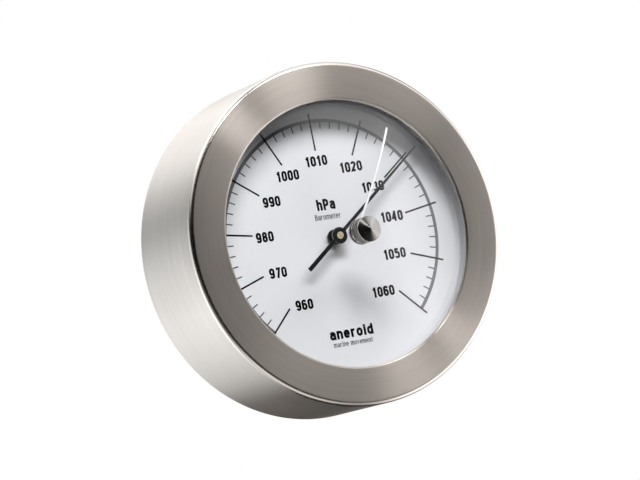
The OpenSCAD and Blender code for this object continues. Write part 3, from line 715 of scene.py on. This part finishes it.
def back():
    """Moulded cover: flat rim, recessed field with grooves, collars round both holes, and curved arrows."""
    field, wall, rim_in, rim_out = 0.4, 1.8, 53.0, 59.8
    seat, cup_in = DIAL_BACK - GAP, LINER_R - 1.9
    corners = [(rim_in, field + 0.1), (rim_in, 0), (rim_out, 0), (rim_out, wall), (LINER_R, wall)]
    corners += [(LINER_R, seat), (cup_in, seat), (cup_in, 3.0), (rim_in, 3.0)]
    finish = ("case", black_plastic, "black_plastic")
    piece = new_piece("cover_rim", *lathe_mesh(rounded(corners, 0.3), 256), *finish)
    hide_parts("rear_cover")
    grown, adjuster_r = 1.6, 3.5
    holes = [keyhole(grown - 0.2), circle(*ADJUSTER, adjuster_r + grown - 0.2)]
    plate_piece("cover_field", [circle(0, 0, rim_in + 0.3, 160)] + holes, field, wall + 0.4, 0.1, *finish)
    plate_piece("hanging_collar", [keyhole(grown), keyhole()], 0, wall + 0.5, 0.3, *finish)
    plate_piece("adjusting_collar", [circle(*ADJUSTER, adjuster_r + grown), circle(*ADJUSTER, adjuster_r)],
                0, wall + 0.5, 0.3, *finish)
    rings = [lathe_mesh(rounded([(r, 0.5), (r, 0.2), (r + 0.8, 0.2), (r + 0.8, 0.5)], 0.12), 192)
             for r in (14.0, 41.0)]
    arrows = [arrow(62, 44, 8.2, 0.7), arrow(-62, -44, 8.2, 0.7)]
    new_piece("cover_marks", *gather(rings + arrows), *finish)
    boss = rounded([(1.15, wall), (3.5, wall), (3.5, 2.96), (1.15, 2.96)], 0.1)
    bosses = [lathe_mesh(boss, 48, place) for place in ((20, 27), (-20, 27), (22, -27), (-22, -27))]
    new_piece("cover_bosses", *gather(bosses), *finish)


# ---------- chain ----------

def chain():
    """The chain, its mesh copied from the CAD node into a new steel piece that takes the node's place."""
    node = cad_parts["chain"]
    verts = [tuple(node.matrix_world @ v.co) for v in node.data.vertices]
    faces = [tuple(face.vertices) for face in node.data.polygons]
    piece = new_piece("chain_links", verts, faces, None, spring_steel, "spring_steel", 30)
    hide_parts("chain")
    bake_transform(piece)


# ---------- CAD nodes that stay ----------

FINISHES = {
    "snap_ring": spring_steel, "movement_plate": brass_plate, "movement_screws": screw_steel,
    "pillars": brass_turned, "rear_bridge": brass_plate, "front_bridge": brass_plate,
    "bridge_screws": screw_steel, "arbor_bushes": brass_turned, "arbor": screw_steel,
    "pointer_blade": lacquer, "pointer_boss": boss_black, "pointer_collar": boss_black,
    "pointer_bush": bush_brass, "hairspring": spring_steel, "hairspring_collet": brass_turned,
    "hairspring_stud": brass_turned, "capsule_lower": capsule_metal, "capsule_upper": capsule_metal,
    "capsule_post": brass_turned, "capsule_nut": brass_turned, "adjusting_leaf": spring_steel,
    "leaf_screws": screw_steel, "adjusting_screw": screw_steel, "rocker_posts": brass_turned,
    "pivot_screws": screw_steel, "rocker_shaft": screw_steel, "rocker_finger": brass_turned,
    "long_arm": screw_steel, "chain_pin": screw_steel, "counterweight": brass_turned,
    "set_hand_shaft": brass_turned, "glass_bush": brass_turned,
    "friction_washer": fibre, "set_hand": hand_white,
}


def finish_nodes():
    """Put each shown CAD node's material in place of the one it came with."""
    for node, material in FINISHES.items():
        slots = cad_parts[node].data.materials
        slots.clear()
        slots.append(material)


# ---------- studio ----------

FLOOR_Z = -CASE_R * MM
FLOOR_HALF = 3.0
FADE_START, FADE_END = 0.16, 0.42  # metres from the wall face's middle
WASH_STRENGTH = 1.5


def light_only(lamp, pieces):
    """Let a light reach these pieces and nothing else."""
    group = bpy.data.collections.new(lamp.name + "_receivers")
    for piece in pieces:
        group.objects.link(piece)
    lamp.light_linking.receiver_collection = group


def floor():
    """Pale floor that is seen from above only: the photograph's camera stands below its level. It fades into
    the white background away from the piece, so that no horizon shows."""
    s = Shader("pale_floor")
    cloud = s.noise(s.position(), 6.0, 3.0)
    tint = s.mix(cloud, rgb(0.80, 0.80, 0.80), rgb(0.86, 0.86, 0.86))
    near = s.principled(Base_Color=tint, Roughness=0.6, Specular_IOR_Level=0.2)
    white = s.add("ShaderNodeEmission", {"Color": rgb(1, 1, 1)}).outputs[0]
    fade = s.ramp(s.vector("LENGTH", s.position(), output="Value"), FADE_START, FADE_END)
    shade = s.add("ShaderNodeMixShader", {0: fade, 1: near, 2: white}).outputs[0]
    clear = s.add("ShaderNodeBsdfTransparent").outputs[0]
    below = s.add("ShaderNodeNewGeometry").outputs["Backfacing"]
    material = s.finish(s.add("ShaderNodeMixShader", {0: below, 1: shade, 2: clear}).outputs[0])
    mesh = bpy.data.meshes.new("floor")
    corners = [(x * FLOOR_HALF, y * FLOOR_HALF, FLOOR_Z) for x, y in ((-1, -1), (1, -1), (1, 1), (-1, 1))]
    mesh.from_pydata(corners, [], [(0, 1, 2, 3)])
    mesh.materials.append(material)
    plane = bpy.data.objects.new("floor", mesh)
    scene.collection.objects.link(plane)
    plane.visible_glossy = plane.visible_diffuse = False
    wash = bpy.data.lights.new("floor_wash", "SUN")
    wash.energy, wash.use_shadow = WASH_STRENGTH, False
    lamp = bpy.data.objects.new("floor_wash", wash)
    scene.collection.objects.link(lamp)
    light_only(lamp, [plane])


STUDIO_BASE = 0.003
# Soft cards around the piece, each a direction and a strength, fading out between two half angles in degrees
CARD_INNER, CARD_OUTER = 6, 34
CARDS = [
    ((-0.27, 0.25, 0.93), 1.70), ((0.33, 0.43, 0.84), 1.31), ((-0.60, -0.11, 0.80), 1.41),
    ((0.56, -0.36, 0.75), 1.60), ((-0.18, 0.69, 0.70), 0.98), ((0.90, -0.20, 0.39), 0.42),
    ((-0.54, 0.77, 0.34), 0.48), ((0.70, -0.70, 0.16), 0.26), ((-0.05, 0.99, 0.11), 0.48),
    ((0.99, 0.13, 0.02), 1.70), ((-0.82, 0.57, -0.02), 1.03), ((0.89, -0.41, -0.20), 0.33),
    ((-0.37, 0.89, -0.25), 0.96), ((-0.89, 0.24, -0.39), 1.11), ((-0.67, -0.52, -0.52), 0.14),
    ((0.82, -0.07, -0.57), 1.70), ((-0.54, 0.58, -0.61), 1.21), ((-0.66, -0.06, -0.75), 0.33),
    ((0.48, -0.37, -0.80), 0.55), ((-0.25, -0.39, -0.89), 1.15),
]
# Cards with half angles of their own, which the glass shows on its right half
SHARP_CARDS = [((0.93, -0.36, 0.08), 0.47, 26, 32), ((0.80, -0.40, -0.45), 0.67, 14, 26)]
COOL = rgb(0.94, 1.015, 1.07)  # the tint of the cards behind the piece


def studio():
    """White seen by the camera, and soft cards seen in reflections only."""
    scene.world = bpy.data.worlds.new("studio")
    s = Shader(scene.world, "ShaderNodeOutputWorld")
    direction = s.add("ShaderNodeTexCoord").outputs["Generated"]
    total = STUDIO_BASE
    for aim, strength, inner, outer in [(*card, CARD_INNER, CARD_OUTER) for card in CARDS] + SHARP_CARDS:
        facing = s.vector("DOT_PRODUCT", direction, Vector(aim).normalized(), "Value")
        card = s.ramp(facing, math.cos(math.radians(outer)), math.cos(math.radians(inner)), 0.0, strength)
        total = s.math("ADD", card, total)
    path = s.add("ShaderNodeLightPath")
    mirrored = path.outputs["Is Glossy Ray"]
    seen = s.math("ADD", s.math("MULTIPLY", total, mirrored), path.outputs["Is Camera Ray"])
    behind = s.ramp(s.add("ShaderNodeSeparateXYZ", {0: direction}).outputs["Y"], 0.0, 0.6)
    tint = s.mix(s.math("MULTIPLY", behind, mirrored), rgb(1, 1, 1), COOL)
    s.finish(s.add("ShaderNodeBackground", {"Color": tint, "Strength": seen}).outputs[0])


LIGHT_DISTANCE = 1.5
# Soft lights: direction from the front ring, width, height, power, and the only piece it lights, if any
SOFT_LIGHTS = {
    "key": ((-0.33, -1.0, 0.95), 0.8, 0.42, 18.5, None),
    "wide_key": ((0.4, -1.0, 0.85), 1.8, 0.45, 15.0, None),
    "fill": ((-0.1, -1.0, 0.1), 0.9, 0.9, 1.6, None),
    "back_fill": ((0.5, 1.0, 0.6), 0.9, 0.9, 14.0, None),
    "left_box": ((-0.026, -0.714, 0.70), 0.37, 0.37, 3.6, "case_drum"),
    "right_box": ((0.32, -0.566, 0.76), 0.58, 0.58, 3.8, "case_drum"),
    "knob_box": ((0.20, -0.88, 0.43), 0.18, 0.18, 0.3, "knob_face"),
    "bush_box": ((0.48, -0.87, 0.08), 0.5, 0.5, 0.5, "pointer_bush"),
}


def soft_light(name, direction, width, height, power, only):
    """A soft elliptical light without a reflection, or one that a single piece shows as a reflection only."""
    light = bpy.data.lights.new(name, "AREA")
    light.shape, light.size, light.size_y, light.energy = "ELLIPSE", width, height, power
    lamp = bpy.data.objects.new(name, light)
    scene.collection.objects.link(lamp)
    lamp.visible_camera = False
    if only:
        lamp.visible_diffuse = False
        light_only(lamp, [bpy.data.objects[only]])
    else:
        lamp.visible_glossy = False
    aim = Vector(direction).normalized()
    lamp.location = aim * LIGHT_DISTANCE + Vector((0, -FRONT * MM, 0))
    lamp.rotation_mode = "QUATERNION"
    lamp.rotation_quaternion = aim.to_track_quat("Z", "Y")


def camera():
    """The photograph's view: azimuth, elevation and roll about the middle of the front ring."""
    azimuth, elevation, roll = (math.radians(a) for a in (-28.609, -4.455, -11.266))
    distance, aside, above = 1.17991, 0.010265, 0.002786
    lens = 185.625
    back_way = Vector((math.sin(azimuth) * math.cos(elevation), -math.cos(azimuth) * math.cos(elevation),
                       math.sin(elevation)))
    right = (-back_way).cross(Vector((0, 0, 1))).normalized()
    up = right.cross(-back_way)
    rolled_right = right * math.cos(roll) + up * math.sin(roll)
    rolled_up = up * math.cos(roll) - right * math.sin(roll)
    data = bpy.data.cameras.new("camera")
    data.lens, data.sensor_width = lens, 36.0
    data.clip_start, data.clip_end = 0.05, 20
    holder = bpy.data.objects.new("camera", data)
    scene.collection.objects.link(holder)
    middle = Vector((0, -FRONT * MM, 0))
    place = Matrix((rolled_right, rolled_up, back_way)).transposed().to_4x4()
    place.translation = middle + back_way * distance - rolled_right * aside - rolled_up * above
    holder.matrix_world = place
    scene.camera = holder


case_drum()
glass_dome()
gasket()
spacer()
dial()
dial_print()
knob()
boss_rim()
back()
chain()
finish_nodes()
floor()
studio()
for light_name, settings in SOFT_LIGHTS.items():
    soft_light(light_name, *settings)
camera()
scene.view_settings.view_transform = "Standard"
